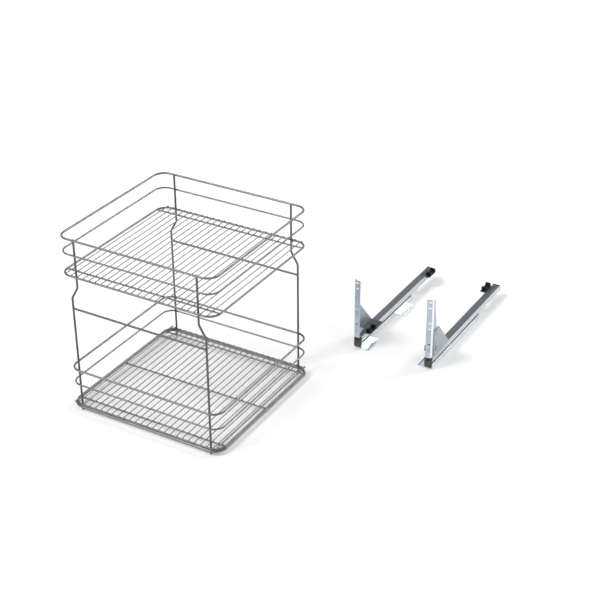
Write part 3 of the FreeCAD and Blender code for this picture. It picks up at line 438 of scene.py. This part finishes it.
def flat_pattern(outline, holes, lines):
    """A sheet's flat pattern as points and triangles, in mm.

    It is cut along lines, given by their places along its first axis, so that it folds there.
    """
    points, edges = [], []
    for loop in [outline] + holes:
        first = sum(len(part) for part in points)
        points.append(loop)
        edges += [(first + i, first + (i + 1) % len(loop)) for i in range(len(loop))]
    low, high = outline[:, 1].min() - 1.0, outline[:, 1].max() + 1.0
    for at in lines:
        first = sum(len(part) for part in points)
        points.append(np.array([(at, low), (at, high)]))
        edges.append((first, first + 1))
    flat = [Vector(point) for point in np.concatenate(points)]
    cut = delaunay_2d_cdt(flat, edges, [], 0, 1e-5)
    spots = np.array([tuple(point) for point in cut[0]])
    faces = np.array([tuple(face) for face in cut[2]])
    middles = spots[faces].mean(axis=1)
    keep = inside(middles, outline)
    for hole in holes:
        keep &= ~inside(middles, hole)
    return spots, faces[keep]


def pressed_strip(side, sign):
    """The door strip, folded from its flat pattern, with its shelf; sign is +1 on the right slide.

    In the pattern s runs across the sheet, from the face's free edge, and z up it. x is measured from
    the slide's middle line, and y from the strip's face. Up to start x is s - back and y is 0. Between
    start and turned the sheet bends by the angle a = (s - start) / BEND, so x is out - BEND + BEND sin a
    and y is BEND - BEND cos a. Past turned x stays out and y runs on. The sheet is 2 mm thick inwards,
    and its cut edges are eased by a quarter of a millimetre. A round hole is a slot that is barely
    longer than high.
    """
    low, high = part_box("door_strip_" + side)
    wide, deep = (high.x - low.x) / MM, (high.y - low.y) / MM
    foot, top = low.z / MM, high.z / MM
    sheet, ease = 2.0, 0.25
    line = middle("runner_" + side).x
    out = (high.x - line if sign > 0 else line - low.x) / MM
    back = wide - out
    start = wide - BEND
    turned = start + BEND * np.pi / 2.0
    fold = turned - BEND
    flange_foot, shoulder, flange_top = foot + 2.8, foot + 81.5, fold + 12.0
    outline = rounded([(0.0, foot, 2.0), (start - 0.5, foot, 0.8), (start - 0.5, flange_foot, 0.0),
                       (fold + deep, flange_foot, 5.0), (fold + deep, shoulder, 6.0),
                       (flange_top, top, 5.0), (0.0, top, 2.0)])
    first_slot, pair_pitch, slot_pitch, slot_length, slot_height = foot + 27.5, 70.5, 19.0, 10.0, 5.0
    slots = [slot_outline(wide / 2, first_slot + pair_pitch * pair + slot_pitch * upper,
                          slot_length, slot_height)
             for pair in range(3) for upper in range(2)]
    hole, barely = 5.4, 0.0001
    screws_in = (middle("bracket_screws_" + side).y - low.y) / MM
    holes = [slot_outline(fold + screws_in, level, hole + barely, hole) for level in SCREW_LEVELS]
    spots, faces = flat_pattern(outline, slots + holes, np.linspace(start, turned, 11))
    s, z = spots.T
    angle = np.clip((s - start) / BEND, 0.0, np.pi / 2.0)
    x = np.minimum(s, start) - back + BEND * np.sin(angle)
    y = BEND * (1.0 - np.cos(angle)) + np.maximum(s - turned, 0.0)
    stud_in = (middle("height_adjuster_" + side).y - low.y) / MM
    near, far, shelf_front, shelf_back = 0.05 - back, out - 1.9, 1.9, 28.5
    shelf_top = foot + 20.5
    shelf = rounded([(near, shelf_front, 0.0), (far, shelf_front, 0.0), (far, shelf_back, 0.0),
                     (near, shelf_back, 3.0)])
    tab, tab_faces = flat_pattern(shelf, [slot_outline(0.0, stud_in, hole + barely, hole)], [])
    corners = np.concatenate([np.stack([x, y, z], -1),
                              np.stack([tab[:, 0], tab[:, 1], np.full(len(tab), shelf_top)], -1)])
    triangles = np.concatenate([faces, tab_faces + len(spots)])
    if sign < 0:
        triangles = triangles[:, ::-1]
    corners = corners * (sign * MM, MM, MM) + (line, low.y, 0.0)
    mesh = bpy.data.meshes.new("pressed_strip_" + side)
    mesh.from_pydata(corners.tolist(), [], triangles.tolist())
    piece = bpy.data.objects.new("pressed_strip_" + side, mesh)
    bpy.context.scene.collection.objects.link(piece)
    thick = piece.modifiers.new("thickness", "SOLIDIFY")
    thick.thickness, thick.offset, thick.use_even_offset = sheet * MM, -1.0, True
    eased = piece.modifiers.new("eased_edges", "BEVEL")
    eased.width, eased.segments = ease * MM, 2
    eased.limit_method, eased.angle_limit = "ANGLE", math.radians(60.0)
    whole = bpy.data.meshes.new_from_object(piece.evaluated_get(bpy.context.evaluated_depsgraph_get()))
    piece.modifiers.clear()
    piece.data = whole
    whole.name = "pressed_strip_" + side
    whole.polygons.foreach_set("use_smooth", np.ones(len(whole.polygons), dtype=bool))
    whole.set_sharp_from_angle(angle=math.radians(35.0))
    whole.materials.append(STRIP)
    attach(piece, "runner_body_" + side)
    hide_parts("door_strip_" + side)


def lanes(node, axis, count, radius):
    """Middle lines of a node's parallel wires: even steps between its outer ones, in metres."""
    low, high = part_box(node)
    return np.linspace(low[axis] + radius * MM, high[axis] - radius * MM, count)


def crossings(xs, ys, level):
    """Every point where a line of xs meets a line of ys, at one level in metres."""
    x, y = np.meshgrid(xs, ys)
    return np.stack([x.ravel(), y.ravel(), np.full(x.size, level)], -1)


def weld_beads():
    """The basket's spot welds: a flattened ball at each place where two wires meet.

    A ball's point at turn u and tilt v is its middle plus (a cos u cos v, b sin u cos v, 1.12 c sin v).
    The tilts end at 60 degrees, where flat ends close the ball near c. a, b and c are the half sizes
    along x, y and z in mm, and all balls are worked out as one array. The levels are the wires' own, or
    halfway between the top of the lower wire and the foot of the upper. The legs' middle lines are a
    wire's radius outside the tie bar's ends, and further in above their kinks.
    """
    fine, medium, stout = 1.5, 2.5, 3.0     # the wires' radii, in mm
    kink = 21.0                             # how far each leg's top stands inside its foot, in mm
    upper_ring, lower_loop = middle("upper_floor_ring").z, middle("base_frame_loop").z
    upper_deck = (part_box("upper_floor_ring")[1].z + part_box("upper_floor_wires")[0].z) / 2
    lower_deck = (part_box("base_frame_loop")[1].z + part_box("lower_floor_wires")[0].z) / 2
    loop_foot = (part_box("base_ring")[1].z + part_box("base_frame_loop")[0].z) / 2
    floor_x = lanes("upper_floor_wires", 0, 24, fine)
    upper_y = lanes("upper_cross_wires", 1, 2, medium)
    lower_y = lanes("lower_cross_wires", 1, 3, medium)
    bar_x = lanes("lower_side_bars", 0, 2, medium)
    ring_x, ring_y = (lanes("upper_floor_ring", axis, 2, stout) for axis in (0, 1))
    loop_x, loop_y = (lanes("base_frame_loop", axis, 2, medium) for axis in (0, 1))
    base_x = np.linspace(loop_x[0] + 59.0 * MM, loop_x[1] - 59.0 * MM, 6)
    base_y = np.linspace(loop_y[0] + 61.25 * MM, loop_y[1] - 56.75 * MM, 5)
    leg_y = np.array([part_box("leg_front_left")[0].y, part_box("leg_rear_left")[1].y])
    leg_x = lanes("front_tie_bar", 0, 2, -stout)
    inwards = np.array([MM, -MM])
    high_x = leg_x + kink * inwards
    tie_y, tie_z = leg_y + stout * inwards, middle("front_tie_bar").z
    spots = [
        (crossings(floor_x, np.r_[ring_y, upper_y], upper_deck), (2.5, 2.6, 1.3)),
        (crossings(floor_x, np.r_[loop_y, lower_y], lower_deck), (2.5, 2.6, 1.3)),
        (crossings(bar_x, np.r_[loop_y, lower_y], lower_deck), (3.1, 3.1, 1.5)),
        (crossings(ring_x + stout * inwards, upper_y, upper_ring), (1.5, 2.9, 2.9)),
        (crossings(loop_x + medium * inwards, lower_y, lower_loop), (1.5, 2.9, 2.9)),
        (crossings(base_x, loop_y, loop_foot), (5.0, 2.4, 1.4)),
        (crossings(loop_x, base_y, loop_foot), (2.4, 5.0, 1.4)),
        (crossings(leg_x + 3.1 * inwards, tie_y, tie_z), (1.5, 2.9, 3.4)),
    ]
    for loop in ("upper_rail", "upper_floor_ring"):
        spots.append((crossings(high_x, leg_y, middle(loop).z), (3.4, 1.5, 3.4)))
    for loop in ("lower_rim", "lower_rail", "base_frame_loop", "base_ring"):
        spots.append((crossings(leg_x, leg_y, middle(loop).z), (3.4, 1.5, 3.4)))
    middles = np.concatenate([points for points, _ in spots])
    halves = np.concatenate([np.broadcast_to(np.array(size) * MM, points.shape)
                             for points, size in spots])
    turn = np.linspace(0.0, 2.0 * np.pi, 10, endpoint=False)
    tilt = np.radians([-60.0, -30.0, 0.0, 30.0, 60.0])[:, None]
    ball = np.stack([np.cos(turn) * np.cos(tilt), np.sin(turn) * np.cos(tilt),
                     np.broadcast_to(1.12 * np.sin(tilt), (len(tilt), len(turn)))], -1)
    rings = middles[:, None, None, :] + halves[:, None, None, :] * ball
    piece = skinned("weld_beads", rings, WELD, 80.0)
    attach(piece, "basket")


weld_beads()
for side, sign in (("left", -1.0), ("right", 1.0)):
    cross_head_screws(side, sign)
    knurled_wheel(side)
    pressed_strip(side, sign)


# Floor, light and camera

def pale_floor():
    """A wide white floor, which keeps the soft shadow under the parts and looks white elsewhere.

    It lies half a millimetre low, so that no piece shares its plane, and glows a little for rays from
    the camera, from gloss and through glass.
    """
    reach, level, glow = 30.0, -0.5 * MM, 0.12
    mesh = bpy.data.meshes.new("floor")
    mesh.from_pydata([(-reach, -reach, level), (reach, -reach, level), (reach, reach, level),
                      (-reach, reach, level)], [], [(0, 1, 2, 3)])
    material, tree = begun("white_floor")
    rays = add(tree, "ShaderNodeLightPath")
    gloss = add(tree, "ShaderNodeMath",
                {0: rays.outputs["Is Camera Ray"], 1: rays.outputs["Is Glossy Ray"]},
                operation="MAXIMUM")
    seen = add(tree, "ShaderNodeMath", {0: gloss.outputs[0], 1: rays.outputs["Is Transmission Ray"]},
               operation="MAXIMUM")
    lift = add(tree, "ShaderNodeMath", {0: seen.outputs[0], 1: glow}, operation="MULTIPLY")
    dressed(tree, {"Base Color": "F7F7F7", "Roughness": 0.9, "Specular IOR Level": 0.0,
                   "Emission Color": "FFFFFF", "Emission Strength": lift.outputs[0]})
    mesh.materials.append(material)
    floor = bpy.data.objects.new("floor", mesh)
    bpy.context.scene.collection.objects.link(floor)


def lamp(name, aim, angle, power):
    """A broad soft sun that shines along aim; angle is how wide it is in degrees."""
    light = bpy.data.lights.new(name, "SUN")
    light.angle = math.radians(angle)
    light.energy = power
    obj = bpy.data.objects.new(name, light)
    obj.rotation_euler = Vector(aim).to_track_quat("-Z", "Y").to_euler()
    bpy.context.scene.collection.objects.link(obj)


def white_world():
    """A white room: camera and glass see white, gloss sees it darker overhead, and it lights softly."""
    soft_light, overhead = 0.55, 0.5
    world = bpy.data.worlds.new("white_room")
    world.use_nodes = True
    tree = world.node_tree
    tree.nodes.clear()
    place = add(tree, "ShaderNodeTexCoord")
    height = add(tree, "ShaderNodeSeparateXYZ", {0: place.outputs["Generated"]})
    ceiling = add(tree, "ShaderNodeMapRange",
                  {"Value": height.outputs["Z"], "From Min": 0.15, "From Max": 0.85,
                   "To Min": 1.0, "To Max": overhead}, interpolation_type="SMOOTHSTEP")
    rays = add(tree, "ShaderNodeLightPath")
    direct = add(tree, "ShaderNodeMath",
                 {0: rays.outputs["Is Camera Ray"], 1: rays.outputs["Is Transmission Ray"]},
                 operation="MAXIMUM")
    gloss = add(tree, "ShaderNodeMath", {0: rays.outputs["Is Glossy Ray"], 1: ceiling.outputs[0]},
                operation="MULTIPLY")
    bright = add(tree, "ShaderNodeMath", {0: direct.outputs[0], 1: gloss.outputs[0]},
                 operation="MAXIMUM")
    strength = add(tree, "ShaderNodeMath", {0: bright.outputs[0], 1: soft_light}, operation="MAXIMUM")
    sky = add(tree, "ShaderNodeBackground", {"Color": "FFFFFF", "Strength": strength.outputs[0]})
    add(tree, "ShaderNodeOutputWorld", {"Surface": sky.outputs[0]})
    bpy.context.scene.world = world


def photo_camera():
    """A camera on the photograph's line of sight: 29.8 degrees left of the depth axis, 29.9 down.

    Its focal length and its shift are in pixels of a frame 616 pixels wide.
    """
    frame_width, focal, shift = 616.0, 1400.0, (-4.3, -0.3)
    data = bpy.data.cameras.new("camera")
    data.sensor_width = 36.0
    data.lens = focal * data.sensor_width / frame_width
    data.shift_x, data.shift_y = shift[0] / frame_width, shift[1] / frame_width
    data.clip_end = 100.0
    camera = bpy.data.objects.new("camera", data)
    heading, pitch = math.radians(29.8), math.radians(29.9)
    look = Vector((-math.sin(heading) * math.cos(pitch), math.cos(heading) * math.cos(pitch),
                   -math.sin(pitch)))
    camera.location = (1.8356, -3.1283, 2.2309)
    camera.rotation_euler = look.to_track_quat("-Z", "Y").to_euler()
    bpy.context.scene.collection.objects.link(camera)
    bpy.context.scene.camera = camera


bpy.context.scene.view_settings.view_transform = "Standard"
pale_floor()
white_world()
photo_camera()
lamp("key", (1.6, 2.2, -3.0), 24.0, 1.6)
lamp("fill", (-3.0, 1.0, -2.0), 40.0, 0.3)
lamp("back", (-0.49, -0.685, -0.54), 16.0, 0.7)
